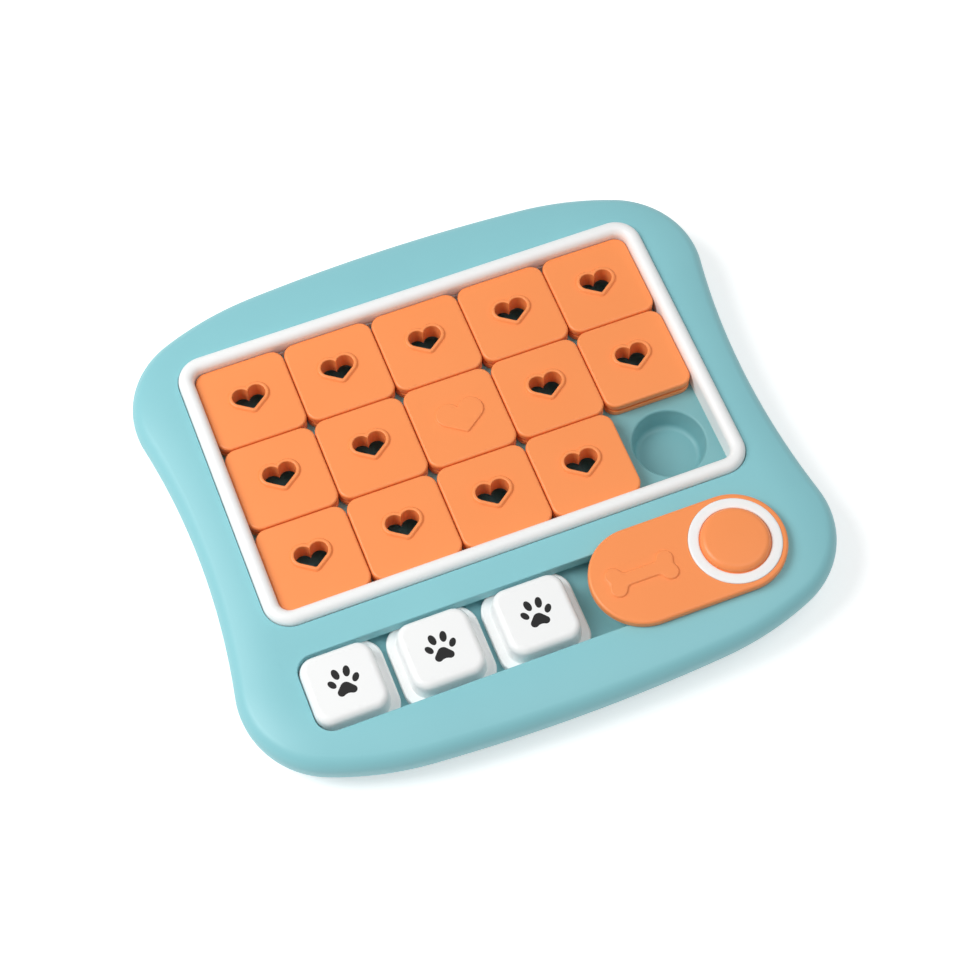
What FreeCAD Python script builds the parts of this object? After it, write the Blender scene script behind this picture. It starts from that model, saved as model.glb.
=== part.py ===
import FreeCAD, Part
import math
import os

# Sliding tile puzzle feeder for dogs. Sizes are in millimetres and degrees.
# +Z is up, the ground is at zero, and the origin is below the middle of the housing outline.

# Housing outline seen from above, one quarter of it, mirrored both ways
side_margin = 18.7
back_margin = 29.2
front_margin = 28.6
bridge_width = 17.0
end_radius = 1120.0
shoulder_radius = 262.0
shoulder_angle = 14.5
corner_radius = 42.3
corner_reach = 34.24

# Housing section at the rim
deck_height = 32.1
wall = 2.4
crown_radius = 70.0
crown_angle = 15.0
edge_radius = 11.0
belly_ratio = 1.279
belly_angle = 40.0
seam_height = 12.0
base_gap = 1.5
lip_height = 3.0
lip_thickness = 1.4
lip_gap = 0.2

# Tile grid and bowls
columns = 5
rows = 3
pitch = 48.0
tile_gap = 0.5
tile_top = 30.5
tile_corner = 7.5
tile_edge = 0.8
tray_floor = 21.1
tray_wall = 2.4
tray_headroom = 1.1
tile_lift = 0.2
bowl_radius = 18.85
bowl_foot_radius = 17.2
bowl_depth = 13.4
bowl_wall = 2.0
bowl_lip = 1.0

# Tongue and groove between the tiles
tongue_height = 1.2
tongue_length = 2.0
tongue_inset = 8.5
groove_height = 1.8
groove_depth = 2.6
groove_middle = 4.9
tile_skin = 2.0
tile_wall = 1.4

# Heart hole, its raised lip, and the larger raised heart of the middle tile
lobe_radius = 4.55
lobe_spread = 4.1
lobe_rise = 2.7
tip_radius = 0.8
tip_drop = 4.8
heart_lip = 2.6
heart_lip_top = 1.3
heart_lip_height = 1.0
heart_tube = 1.5
big_heart_scale = 1.6
emboss_height = 0.8

# Frame round the tiles
rim_width = 8.0
rim_top = 35.9
rim_corner = 14.0
rim_round = 3.9
frame_gap = 0.3
frame_slot_width = 2.4
frame_outer_wall = 1.8
frame_slot_top = 30.0

# Key channel and keys
channel_side_inset = 23.1
channel_end_overlap = 24.0
channel_half_width = 20.6
channel_corner = 9.0
channel_lip_bottom = 25.2
channel_lip_wall = 2.0
track_floor = 19.2
track_wall = 2.2
track_headroom = 1.9
key_count = 3
key_end_gap = 1.2
key_spacing = 49.5
key_lift = 0.2
key_width = 36.0
key_depth = 37.0
key_corner = 8.0
key_draft = 1.0
key_top = 36.1
key_edge = 3.0
key_skin = 2.0
skirt_width = 47.0
skirt_depth = 46.0
skirt_corner = 11.0
skirt_gap = 0.6
skirt_edge = 1.2
skirt_side_gap = 0.6
skirt_end_gap = 0.8

# Swivel lid, its inlaid ring and the cap over its pivot
lid_key_gap = 11.1
lid_reach = 50.0
lid_radius = 26.3
lid_gap = 0.3
lid_thickness = 4.5
lid_edge = 1.2
ring_inner = 18.0
ring_outer = 23.4
ring_depth = 1.4
ring_proud = 0.7
ring_edge = 0.55
ring_gap = 0.1
bone_half_length = 18.0
bone_lobe_radius = 4.4
bone_lobe_rise = 3.8
bone_shaft_half = 3.9
post_radius = 7.0
post_clearance = 0.06
lid_web = 1.8
well_radius = 15.0
washer_radius = 11.0
washer_thickness = 1.0
washer_play = 0.2
cap_radius = 17.5
cap_height = 3.8
cap_round = 3.0
cap_wall = 1.6
cap_plug_depth = 1.4
pivot_boss_radius = 5.0
pivot_boss_length = 12.0

# Screws, bosses, ribs and feet
screw_radius = 1.5
screw_head_radius = 3.1
screw_crown_radius = 2.2
screw_head_height = 2.2
screw_fit = 0.05
screw_length = 13.0
screw_hole_radius = 1.9
screw_well_radius = 3.5
screw_well_depth = 4.0
boss_radius = 3.8
cover_boss_radius = 5.0
cover_boss_top = 8.0
pivot_screw_length = 13.0
pivot_pilot_depth = 14.0
rib_thickness = 2.0
rib_inset = 6.0
foot_radius = 8.0
foot_pocket = 1.0
screw_x = 88.0
screw_back_gap = 9.2
screw_front_gap = 9.4
screw_middle_gap = 7.3
foot_side_inset = 34.7
foot_end_inset = 45.0

# Overlap of joined pieces, and how closely an edge must lie to a height to be picked
overlap = 1.0
match = 0.01

# Places worked out from the sizes above
frame_depth = rows * pitch + 2 * rim_width
half_depth = (back_margin + frame_depth + bridge_width + 2 * channel_half_width + front_margin) / 2
half_waist = columns * pitch / 2 + rim_width + side_margin
belt_height = deck_height - crown_radius + (crown_radius - edge_radius) * math.cos(math.radians(crown_angle))
deck_inset = edge_radius + (crown_radius - edge_radius) * math.sin(math.radians(crown_angle))
belly_radius = belly_ratio * (belt_height - base_gap)
belly_drop = belly_radius * math.sin(math.radians(belly_angle))
sole_radius = (belt_height - base_gap - belly_drop) / (1 - math.sin(math.radians(belly_angle)))
belly_step = 1 - math.cos(math.radians(belly_angle))
sole_inset = belly_radius * belly_step + sole_radius * math.cos(math.radians(belly_angle))
cover_floor = base_gap + wall
deck_under = deck_height - wall
grid_half_x = columns * pitch / 2
grid_half_y = rows * pitch / 2
grid_centre_y = half_depth - back_margin - rim_width - grid_half_y
channel_y = front_margin + channel_half_width - half_depth
channel_left = channel_side_inset - half_waist
key_first_x = channel_left + key_end_gap + key_width / 2
pivot_x = key_first_x + (key_count - 1) * key_spacing + key_width / 2 + lid_key_gap + lid_radius + lid_reach
channel_right = pivot_x - channel_end_overlap
screw_back_y = grid_centre_y + grid_half_y + rim_width + screw_back_gap
screw_middle_y = grid_centre_y - grid_half_y - rim_width - screw_middle_gap
screw_front_y = channel_y - channel_half_width - screw_front_gap
foot_x = half_waist - foot_side_inset
foot_y = half_depth - foot_end_inset
rim_inner_corner = rim_corner - rim_width
tile_size = pitch - tile_gap
tile_bottom = tray_floor + tile_lift
tongue_middle = tile_top - groove_middle
skirt_top = channel_lip_bottom - skirt_gap
key_bottom = track_floor + key_lift
track_half_width = skirt_depth / 2 + skirt_side_gap
track_left = key_first_x - skirt_width / 2 - skirt_end_gap
track_right = channel_right + skirt_depth / 2 - channel_half_width + skirt_side_gap
lid_bottom = deck_height + lid_gap
lid_top = lid_bottom + lid_thickness
web_top = lid_bottom + lid_web
post_top = web_top + washer_play

V = FreeCAD.Vector
UP = V(0, 0, 1)
ORIGIN = V(0, 0, 0)


# Plane geometry and plain solids

def point_at(centre, radius, angle):
    turn = math.radians(angle)
    return V(centre[0] + radius * math.cos(turn), centre[1] + radius * math.sin(turn), 0)


def arc(centre, radius, start, stop):
    middle = (start + stop) / 2
    return Part.Arc(*[point_at(centre, radius, angle) for angle in (start, middle, stop)]).toShape()


def line(start, stop):
    return Part.makeLine(V(start[0], start[1], 0), V(stop[0], stop[1], 0))


def face_of(edges):
    return Part.Face(Part.Wire(Part.__sortEdges__(edges)))


def slab(face, bottom, top):
    solid = face.extrude(V(0, 0, top - bottom))
    solid.translate(V(0, 0, bottom))
    return solid


def rounded_rectangle(width, depth, radius, x=0.0, y=0.0):
    right = width / 2 - radius
    back = depth / 2 - radius
    edges = []
    for side_x, side_y, start in ((1, 1, 0), (-1, 1, 90), (-1, -1, 180), (1, -1, 270)):
        edges.append(arc((side_x * right, side_y * back), radius, start, start + 90))
    for side in (1, -1):
        edges.append(line((-right, side * depth / 2), (right, side * depth / 2)))
        edges.append(line((side * width / 2, -back), (side * width / 2, back)))
    face = face_of(edges)
    face.translate(V(x, y, 0))
    return face


def cylinder(radius, bottom, top, x=0.0, y=0.0):
    return Part.makeCylinder(radius, top - bottom, V(x, y, bottom))


def box(left, right, front, back, bottom, top):
    return Part.makeBox(right - left, back - front, top - bottom, V(left, front, bottom))


def edges_at(solid, height):
    return [edge for edge in solid.Edges if edge.BoundBox.ZMin > height - match]


def fuse(solids):
    return solids[0].multiFuse(solids[1:]).removeSplitter()


def cut(solid, tools):
    return solid.cut(Part.makeCompound(tools))


# Housing outline

def outline_quarter():
    # The end arc opens until the corner arc's centre is the corner reach inside the waist
    spread = math.radians(shoulder_angle)
    along = end_radius - shoulder_radius + (shoulder_radius - corner_radius) * math.cos(spread)
    across = (shoulder_radius - corner_radius) * math.sin(spread)
    turn_end = math.asin((half_waist - corner_reach) / math.hypot(along, across)) - math.atan2(across, along)
    end_angle = math.degrees(turn_end)
    turn_corner = turn_end + spread
    end_y = half_depth - end_radius
    shoulder_x = (end_radius - shoulder_radius) * math.sin(turn_end)
    shoulder_y = end_y + (end_radius - shoulder_radius) * math.cos(turn_end)
    corner_x = shoulder_x + (shoulder_radius - corner_radius) * math.sin(turn_corner)
    corner_y = shoulder_y + (shoulder_radius - corner_radius) * math.cos(turn_corner)
    reach = half_waist - corner_x
    side_radius = (reach ** 2 + corner_y ** 2 - corner_radius ** 2) / (2 * (corner_radius - reach))
    side_angle = math.degrees(math.asin(corner_y / (corner_radius + side_radius)))
    corner_stop = 90 - end_angle - shoulder_angle
    return [
        ((half_waist + side_radius, 0), side_radius, 180, 180 - side_angle, 1),
        ((corner_x, corner_y), corner_radius, -side_angle, corner_stop, -1),
        ((shoulder_x, shoulder_y), shoulder_radius, corner_stop, 90 - end_angle, -1),
        ((0, end_y), end_radius, 90 - end_angle, 90, -1),
    ]


def outline_face(inset):
    quarter = [arc(centre, radius + side * inset, start, stop)
               for centre, radius, start, stop, side in outline_quarter()]
    half = quarter + [edge.mirror(ORIGIN, V(1, 0, 0)) for edge in quarter]
    return face_of(half + [edge.mirror(ORIGIN, V(0, 1, 0)) for edge in half])


def rim_ring(section):
    # The section stands upright along the outline, its x measured inwards from the widest line
    upright = section.copy()
    upright.rotate(ORIGIN, V(1, 0, 0), 90)
    pieces = []
    for centre, radius, start, stop, side in outline_quarter():
        face = upright.copy()
        face.rotate(ORIGIN, UP, start if side > 0 else start + 180)
        face.translate(point_at(centre, radius, start))
        pieces.append(face.revolve(V(centre[0], centre[1], 0), UP, stop - start))
    quarter = fuse(pieces)
    half = fuse([quarter, quarter.mirror(ORIGIN, V(1, 0, 0))])
    return fuse([half, half.mirror(ORIGIN, V(0, 1, 0))])


def belly_turn(height, inset):
    return math.degrees(math.asin((belt_height - height) / (belly_radius - inset)))


def top_section():
    crown = (deck_inset, deck_height - crown_radius)
    edge = (edge_radius, belt_height)
    belly = (belly_radius, belt_height)
    lean = 90 + crown_angle
    outer_stop = 180 + belly_turn(seam_height, 0)
    inner_stop = 180 + belly_turn(seam_height, wall)
    edges = []
    for inset, stop in ((0, outer_stop), (wall, inner_stop)):
        edges.append(arc(crown, crown_radius - inset, 90, lean))
        edges.append(arc(edge, edge_radius - inset, lean, 180))
        edges.append(arc(belly, belly_radius - inset, 180, stop))
    outer_end = point_at(belly, belly_radius, outer_stop)
    inner_end = point_at(belly, belly_radius - wall, inner_stop)
    edges.append(line(outer_end, inner_end))
    edges.append(line((deck_inset, deck_height), (deck_inset, deck_under)))
    return face_of(edges)


def cover_section():
    belly = (belly_radius, belt_height)
    sole = (sole_inset, base_gap + sole_radius)
    lean = 180 + belly_angle
    outer_start = 180 + belly_turn(seam_height, 0)
    inner_start = 180 + belly_turn(seam_height, wall)
    edges = []
    for inset, start in ((0, outer_start), (wall, inner_start)):
        edges.append(arc(belly, belly_radius - inset, start, lean))
        edges.append(arc(sole, sole_radius - inset, lean, 270))
    outer_end = point_at(belly, belly_radius, outer_start)
    inner_end = point_at(belly, belly_radius - wall, inner_start)
    edges.append(line(outer_end, inner_end))
    edges.append(line((sole_inset, base_gap), (sole_inset, cover_floor)))
    return face_of(edges)


def seam_lip_section():
    inner = point_at((belly_radius, belt_height), belly_radius - wall, 180 + belly_turn(seam_height, wall))
    near = inner.x + lip_gap
    corners = [(near, seam_height - lip_height), (near + lip_thickness, seam_height - lip_height),
               (near + lip_thickness, seam_height + lip_height), (near, seam_height + lip_height)]
    return face_of([line(corners[k - 1], corners[k]) for k in range(4)])


# Hearts and tiles

def heart_edges(grow):
    lobe = (lobe_spread, lobe_rise)
    tip = (0, -tip_drop)
    reach = math.hypot(lobe[0] - tip[0], lobe[1] - tip[1])
    lean = math.degrees(math.atan2(lobe[1] - tip[1], lobe[0] - tip[0]))
    normal = lean - 90 - math.degrees(math.asin((lobe_radius - tip_radius) / reach))
    lobe_size = lobe_radius + grow
    cleft = math.degrees(math.atan2(math.sqrt(lobe_size ** 2 - lobe_spread ** 2), -lobe_spread))
    right = [
        arc(lobe, lobe_size, normal, cleft),
        line(point_at(tip, tip_radius + grow, normal), point_at(lobe, lobe_size, normal)),
    ]
    left = [edge.mirror(ORIGIN, V(1, 0, 0)) for edge in right]
    return right + left + [arc(tip, tip_radius + grow, -180 - normal, normal)]


def heart_face(grow):
    return face_of(heart_edges(grow))


def heart_boss(low_grow, high_grow, bottom, height, scale=1.0):
    low = heart_face(low_grow).OuterWire
    high = heart_face(high_grow).OuterWire
    high.translate(V(0, 0, height / scale))
    boss = Part.makeLoft([low, high], True, True)
    boss.scale(scale)
    boss.translate(V(0, 0, bottom))
    return boss


def groove_cuts(half, depth, height, middle):
    # Grooves along the right and front sides, open at both ends
    low = middle - height / 2
    high = middle + height / 2
    return [
        box(half - depth, half + depth, -half - depth, half + depth, low, high),
        box(-half - depth, half + depth, -half - depth, -half + depth, low, high),
    ]


def tongues(half):
    # Tongues along the left and back sides, short of the corners
    reach = half - tongue_inset
    low = tongue_middle - tongue_height / 2
    high = tongue_middle + tongue_height / 2
    return [
        box(-half - tongue_length, -half + overlap, -reach, reach, low, high),
        box(-reach, reach, half - overlap, half + tongue_length, low, high),
    ]


def tile(holed):
    half = tile_size / 2
    body = slab(rounded_rectangle(tile_size, tile_size, tile_corner), tile_bottom, tile_top)
    body = body.makeChamfer(tile_edge, edges_at(body, tile_top))
    hollow = tile_size - 2 * (groove_depth + tile_wall)
    pocket_top = tile_top - tile_skin
    pocket = slab(rounded_rectangle(hollow, hollow, tile_corner - tile_wall), tile_bottom, pocket_top)
    if holed:
        pocket = pocket.cut(slab(heart_face(heart_tube), tile_bottom, tile_top))
    body = cut(body, groove_cuts(half, groove_depth, groove_height, tongue_middle) + [pocket])
    if holed:
        lip = heart_boss(heart_lip, heart_lip_top, tile_top, heart_lip_height)
        body = fuse([body, lip] + tongues(half))
        return body.cut(slab(heart_face(0), tile_bottom, tile_top + heart_lip_height))
    emboss = heart_boss(0, -emboss_height / 2, tile_top, emboss_height, big_heart_scale)
    return fuse([body, emboss] + tongues(half))


def tile_place(row, column):
    x = (column - (columns + 1) / 2) * pitch
    y = ((rows + 1) / 2 - row) * pitch + grid_centre_y
    return V(x, y, 0)


# Frame and bowl tray

def tile_frame():
    inner_x = 2 * grid_half_x
    inner_y = 2 * grid_half_y
    outline = rounded_rectangle(inner_x + 2 * rim_width, inner_y + 2 * rim_width, rim_corner)
    outer = slab(outline, tray_floor, rim_top)
    inside = slab(rounded_rectangle(inner_x, inner_y, rim_inner_corner), tray_floor, rim_top)
    ring = outer.cut(inside)
    ring = ring.makeFillet(rim_round, edges_at(ring, rim_top))
    slot_out = rim_width - frame_outer_wall
    slot_in = slot_out - frame_slot_width
    slot_face = rounded_rectangle(inner_x + 2 * slot_out, inner_y + 2 * slot_out, rim_inner_corner + slot_out)
    core_face = rounded_rectangle(inner_x + 2 * slot_in, inner_y + 2 * slot_in, rim_inner_corner + slot_in)
    slot = slab(slot_face, tray_floor, frame_slot_top)
    core = slab(core_face, tray_floor, frame_slot_top)
    low = tongue_middle - groove_height / 2
    high = tongue_middle + groove_height / 2
    reach_x = grid_half_x - tongue_inset
    reach_y = grid_half_y - tongue_inset
    left = -grid_half_x
    back = grid_half_y
    grooves = [
        box(left - groove_depth, left + overlap, -back, back - rim_inner_corner, low, high),
        box(left + rim_inner_corner, grid_half_x, back - overlap, back + groove_depth, low, high),
    ]
    tongue_low = tongue_middle - tongue_height / 2
    tongue_high = tongue_middle + tongue_height / 2
    rails = [
        box(grid_half_x - tongue_length, grid_half_x + overlap, -reach_y, reach_y, tongue_low, tongue_high),
        box(-reach_x, reach_x, -back - overlap, -back + tongue_length, tongue_low, tongue_high),
    ]
    frame = fuse([cut(ring, [slot.cut(core)] + grooves)] + rails)
    frame.translate(V(0, grid_centre_y, 0))
    return frame


def bowl_solids():
    # A bowl and the wall round it, both on the z axis
    inner = Part.makeCone(bowl_foot_radius, bowl_radius, bowl_depth, V(0, 0, tray_floor - bowl_depth))
    lip = Part.makeCone(bowl_radius - bowl_lip, bowl_radius + bowl_lip, 2 * bowl_lip,
                        V(0, 0, tray_floor - bowl_lip))
    outer = Part.makeCone(bowl_foot_radius + bowl_wall, bowl_radius + bowl_wall, bowl_depth,
                          V(0, 0, tray_floor - bowl_depth - bowl_wall))
    return outer, inner.fuse(lip)


def bowl_tray():
    inner_x = 2 * (grid_half_x + rim_width + frame_gap)
    inner_y = 2 * (grid_half_y + rim_width + frame_gap)
    corner = rim_corner + frame_gap
    top = deck_under - tray_headroom
    tub = slab(rounded_rectangle(inner_x + 2 * tray_wall, inner_y + 2 * tray_wall, corner + tray_wall),
               tray_floor - tray_wall, top)
    room = slab(rounded_rectangle(inner_x, inner_y, corner), tray_floor, top)
    outer, inner = bowl_solids()
    walls = []
    hollows = []
    for row in range(1, rows + 1):
        for column in range(1, columns + 1):
            place = tile_place(row, column) - V(0, grid_centre_y, 0)
            walls.append(outer.translated(place))
            hollows.append(inner.translated(place))
    tray = cut(fuse([tub] + walls), [room] + hollows)
    tray.translate(V(0, grid_centre_y, 0))
    return tray


# Housing

def cover_screw_places():
    places = []
    for side in (-1, 1):
        for y in (screw_back_y, screw_middle_y, screw_front_y):
            places.append((side * screw_x, y))
    return places


def channel_face(grow):
    width = channel_right - channel_left + 2 * grow
    middle = (channel_right + channel_left) / 2
    return rounded_rectangle(width, 2 * (channel_half_width + grow), channel_corner + grow, middle, channel_y)


def top_shell():
    deck = slab(outline_face(deck_inset), deck_under, deck_height)
    flange = slab(channel_face(channel_lip_wall), channel_lip_bottom, deck_under)
    post = cylinder(post_radius, deck_under, post_top, pivot_x, channel_y)
    pivot_boss = cylinder(pivot_boss_radius, deck_under - pivot_boss_length, deck_under, pivot_x, channel_y)
    bosses = [cylinder(boss_radius, cover_boss_top, deck_under, x, y) for x, y in cover_screw_places()]
    shell = fuse([rim_ring(top_section()), deck, flange, post, pivot_boss] + bosses)
    window_x = 2 * (grid_half_x + rim_width + frame_gap)
    window_y = 2 * (grid_half_y + rim_width + frame_gap)
    window = rounded_rectangle(window_x, window_y, rim_corner + frame_gap, 0, grid_centre_y)
    openings = [slab(window, tray_floor, deck_height), slab(channel_face(0), channel_lip_bottom, deck_height)]
    pilots = [cylinder(screw_radius + screw_fit, cover_boss_top, cover_boss_top + screw_length, x, y)
              for x, y in cover_screw_places()]
    pivot_pilot = cylinder(screw_radius + screw_fit, post_top - pivot_pilot_depth, post_top,
                           pivot_x, channel_y)
    return cut(shell, openings + pilots + [pivot_pilot])


def foot_places():
    return [(x, y) for x in (-foot_x, 0, foot_x) for y in (foot_y, -foot_y)]


def bottom_cover():
    floor = slab(outline_face(sole_inset), base_gap, cover_floor)
    bosses = [cylinder(cover_boss_radius, base_gap + wall / 2, cover_boss_top, x, y)
              for x, y in cover_screw_places()]
    ribs = []
    for row in range(1, rows):
        y = tile_place(row, 1).y - pitch / 2
        reach = grid_half_x - rib_inset
        ribs.append(box(-reach, reach, y - rib_thickness / 2, y + rib_thickness / 2,
                        base_gap, tray_floor - tray_wall))
    ribs.append(box(track_left + rib_inset, track_right - rib_inset, channel_y - rib_thickness / 2,
                    channel_y + rib_thickness / 2, base_gap, track_floor - track_wall))
    cover = fuse([rim_ring(cover_section()), rim_ring(seam_lip_section()), floor] + bosses + ribs)
    cuts = []
    for x, y in cover_screw_places():
        cuts.append(cylinder(screw_well_radius, base_gap, base_gap + screw_well_depth, x, y))
        cuts.append(cylinder(screw_hole_radius, base_gap, cover_boss_top, x, y))
    for x, y in foot_places():
        cuts.append(cylinder(foot_radius, base_gap, base_gap + foot_pocket, x, y))
    return cut(cover, cuts)


def key_track():
    middle = (track_left + track_right) / 2
    length = track_right - track_left
    depth = 2 * track_half_width
    corner = skirt_corner + skirt_side_gap
    top = deck_under - track_headroom
    outside = rounded_rectangle(length + 2 * track_wall, depth + 2 * track_wall, corner + track_wall,
                                middle, channel_y)
    inside = rounded_rectangle(length, depth, corner, middle, channel_y)
    tub = slab(outside, track_floor - track_wall, top)
    room = slab(inside, track_floor, top)
    return tub.cut(room)


# Keys

def key_cap():
    low = rounded_rectangle(key_width, key_depth, key_corner).OuterWire
    high = rounded_rectangle(key_width - 2 * key_draft, key_depth - 2 * key_draft,
                             key_corner - key_draft).OuterWire
    low.translate(V(0, 0, skirt_top))
    high.translate(V(0, 0, key_top))
    body = Part.makeLoft([low, high], True, True)
    return body.makeFillet(key_edge, edges_at(body, key_top))


def key():
    skirt = slab(rounded_rectangle(skirt_width, skirt_depth, skirt_corner), key_bottom, skirt_top)
    skirt = skirt.makeChamfer(skirt_edge, edges_at(skirt, skirt_top))
    body = fuse([skirt, key_cap()])
    inset = 2 * (key_skin + key_draft)
    pocket = slab(rounded_rectangle(key_width - inset, key_depth - inset, key_corner - key_skin),
                  key_bottom, key_top - key_skin)
    body = body.cut(pocket)
    body.translate(V(0, channel_y, 0))
    return body


# Swivel lid

def lid_face(radius):
    far = (pivot_x - lid_reach, channel_y)
    near = (pivot_x, channel_y)
    return face_of([
        arc(far, radius, 90, 270),
        arc(near, radius, -90, 90),
        line((far[0], channel_y + radius), (near[0], channel_y + radius)),
        line((far[0], channel_y - radius), (near[0], channel_y - radius)),
    ])


def bone():
    # Raised bone on the free end of the lid: a shaft with two knobs at each end
    far = pivot_x - lid_reach
    reach = bone_half_length - bone_lobe_radius
    pieces = [box(far - reach, far + reach, channel_y - bone_shaft_half, channel_y + bone_shaft_half,
                  lid_top - overlap, lid_top + emboss_height)]
    for side in (-1, 1):
        for rise in (-bone_lobe_rise, bone_lobe_rise):
            pieces.append(cylinder(bone_lobe_radius, lid_top - overlap, lid_top + emboss_height,
                                   far + side * reach, channel_y + rise))
    return fuse(pieces)


def swivel_lid():
    plate = slab(lid_face(lid_radius), lid_bottom, lid_top)
    plate = plate.makeFillet(lid_edge, edges_at(plate, lid_top))
    groove = cylinder(ring_outer + ring_gap, lid_top - ring_depth, lid_top, pivot_x, channel_y)
    island = cylinder(ring_inner - ring_gap, lid_top - ring_depth, lid_top, pivot_x, channel_y)
    groove = groove.cut(island)
    well = cylinder(well_radius, web_top, lid_top, pivot_x, channel_y)
    bore = cylinder(post_radius + post_clearance, lid_bottom, web_top, pivot_x, channel_y)
    return cut(fuse([plate, bone()]), [groove, well, bore])


def turned(points, x, y):
    # A solid turned about the vertical line through x and y, from its half section
    corners = [V(radius, 0, height) for radius, height in points]
    face = Part.Face(Part.makePolygon(corners + corners[:1]))
    solid = face.revolve(ORIGIN, UP, 360)
    solid.translate(V(x, y, 0))
    return solid


def lid_ring():
    bottom = lid_top - ring_depth
    ring = cylinder(ring_outer, bottom, lid_top + ring_proud, pivot_x, channel_y)
    ring = ring.cut(cylinder(ring_inner, bottom, lid_top + ring_proud, pivot_x, channel_y))
    return ring.makeChamfer(ring_edge, edges_at(ring, lid_top + ring_proud))


def pivot_cap():
    top = lid_top + cap_height
    dome = cylinder(cap_radius, lid_top, top, pivot_x, channel_y)
    dome = dome.makeFillet(cap_round, edges_at(dome, top))
    plug = cylinder(well_radius - ring_gap, lid_top - cap_plug_depth, lid_top, pivot_x, channel_y)
    room = cylinder(well_radius - ring_gap - cap_wall, lid_top - cap_plug_depth, top - cap_wall,
                    pivot_x, channel_y)
    return fuse([dome, plug]).cut(room)


def pivot_washer():
    return turned([(screw_radius + screw_fit, post_top), (washer_radius, post_top),
                   (washer_radius, post_top + washer_thickness),
                   (screw_radius + screw_fit, post_top + washer_thickness)], pivot_x, channel_y)


def screw(seat, length, x, y, heading):
    # A pan head screw whose head rests on the seat and whose shank points along the heading
    tip = seat + heading * length
    head = seat - heading * screw_head_height
    cone = tip - heading * screw_radius
    shoulder = seat - heading * screw_head_height / 2
    profile = [(0, head), (screw_crown_radius, head), (screw_head_radius, shoulder),
               (screw_head_radius, seat), (screw_radius, seat), (screw_radius, cone), (0, tip)]
    return turned(profile, x, y)


def cover_screws():
    seat = base_gap + screw_well_depth
    return Part.makeCompound([screw(seat, screw_length, x, y, 1) for x, y in cover_screw_places()])


def pivot_screw():
    return screw(post_top + washer_thickness, pivot_screw_length, pivot_x, channel_y, -1)


def rubber_feet():
    top = base_gap + foot_pocket
    return Part.makeCompound([cylinder(foot_radius, 0, top, x, y) for x, y in foot_places()])


# Files

def write(node, shape):
    shape.exportStep("parts/" + node + ".step")


def main():
    os.makedirs("parts", exist_ok=True)
    write("top_shell", top_shell())
    write("bottom_cover", bottom_cover())
    write("bowl_tray", bowl_tray())
    write("tile_frame", tile_frame())
    write("key_track", key_track())
    heart_tile = tile(True)
    plain_tile = tile(False)
    middle = ((rows + 1) // 2, (columns + 1) // 2)
    for row in range(1, rows + 1):
        for column in range(1, columns + 1):
            if (row, column) == (rows, columns):
                continue
            pattern = plain_tile if (row, column) == middle else heart_tile
            write("tile_r%dc%d" % (row, column), pattern.translated(tile_place(row, column)))
    pattern = key()
    for number in range(key_count):
        write("key_%d" % (number + 1), pattern.translated(V(key_first_x + number * key_spacing, 0, 0)))
    write("swivel_lid", swivel_lid())
    write("lid_ring", lid_ring())
    write("pivot_cap", pivot_cap())
    write("pivot_washer", pivot_washer())
    write("pivot_screw", pivot_screw())
    write("cover_screws", cover_screws())
    write("rubber_feet", rubber_feet())


main()
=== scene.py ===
# %% [markdown]
# # Dog puzzle feeder with sliding heart tiles
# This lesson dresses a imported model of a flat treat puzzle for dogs. The frame is loaded first. It
# holds every solid where it belongs, and each piece made here rides on one of its bodies. Lengths
# below are in millimetres, as on a maker's drawing, and one factor turns them into metres.

# %% Frame
import math
import bmesh
import bpy
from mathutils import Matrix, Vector
from mathutils.geometry import tessellate_polygon


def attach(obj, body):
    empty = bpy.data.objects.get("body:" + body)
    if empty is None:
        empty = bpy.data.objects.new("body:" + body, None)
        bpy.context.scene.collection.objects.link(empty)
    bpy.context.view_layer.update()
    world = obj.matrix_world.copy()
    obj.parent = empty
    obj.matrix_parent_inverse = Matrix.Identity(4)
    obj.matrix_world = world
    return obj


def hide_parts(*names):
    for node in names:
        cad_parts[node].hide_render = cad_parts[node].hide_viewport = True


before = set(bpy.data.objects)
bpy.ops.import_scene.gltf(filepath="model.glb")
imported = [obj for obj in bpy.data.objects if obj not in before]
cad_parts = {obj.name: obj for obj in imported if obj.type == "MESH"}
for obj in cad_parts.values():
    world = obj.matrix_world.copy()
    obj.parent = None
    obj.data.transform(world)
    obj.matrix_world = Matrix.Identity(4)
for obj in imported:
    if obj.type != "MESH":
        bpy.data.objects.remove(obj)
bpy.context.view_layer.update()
MM = 0.001
print("nodes in the frame:", len(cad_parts))

# %% [markdown]
# ## Camera
# The photograph looks down steeply from the front left with a long lens. The angles and the distance
# come from the tile grid, whose corners lie on a plane with known spacing, so the camera could be
# worked out from them. A camera that looks along a tracked direction needs no constraint.

# %% Camera
TARGET = Vector((-3.57, -8.78, 30.5)) * MM
AZIMUTH = math.radians(-21.286)
ELEVATION = math.radians(62.45)
DISTANCE = 1151.9 * MM
SENSOR_WIDTH = 36.0
LENS = 86.12

camera_data = bpy.data.cameras.new("photo_camera")
camera_data.sensor_width = SENSOR_WIDTH
camera_data.lens = LENS
camera = bpy.data.objects.new("photo_camera", camera_data)
bpy.context.scene.collection.objects.link(camera)
away = Vector((math.sin(AZIMUTH) * math.cos(ELEVATION), -math.cos(AZIMUTH) * math.cos(ELEVATION),
               math.sin(ELEVATION)))
camera.location = TARGET + away * DISTANCE
camera.rotation_euler = (-away).to_track_quat("-Z", "Y").to_euler()
bpy.context.scene.camera = camera
bpy.context.scene.view_settings.view_transform = "Standard"
print("camera at", [round(value, 3) for value in camera.location])

# %% [markdown]
# ## Nodes and colours
# Every material is built from nodes. One small function adds a node, sets its properties and its
# inputs, and links what it is given. Colours are written as sRGB hex values, as a painter reads them
# from a screen, and a second function turns them into the linear values that a shader works in.

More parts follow.
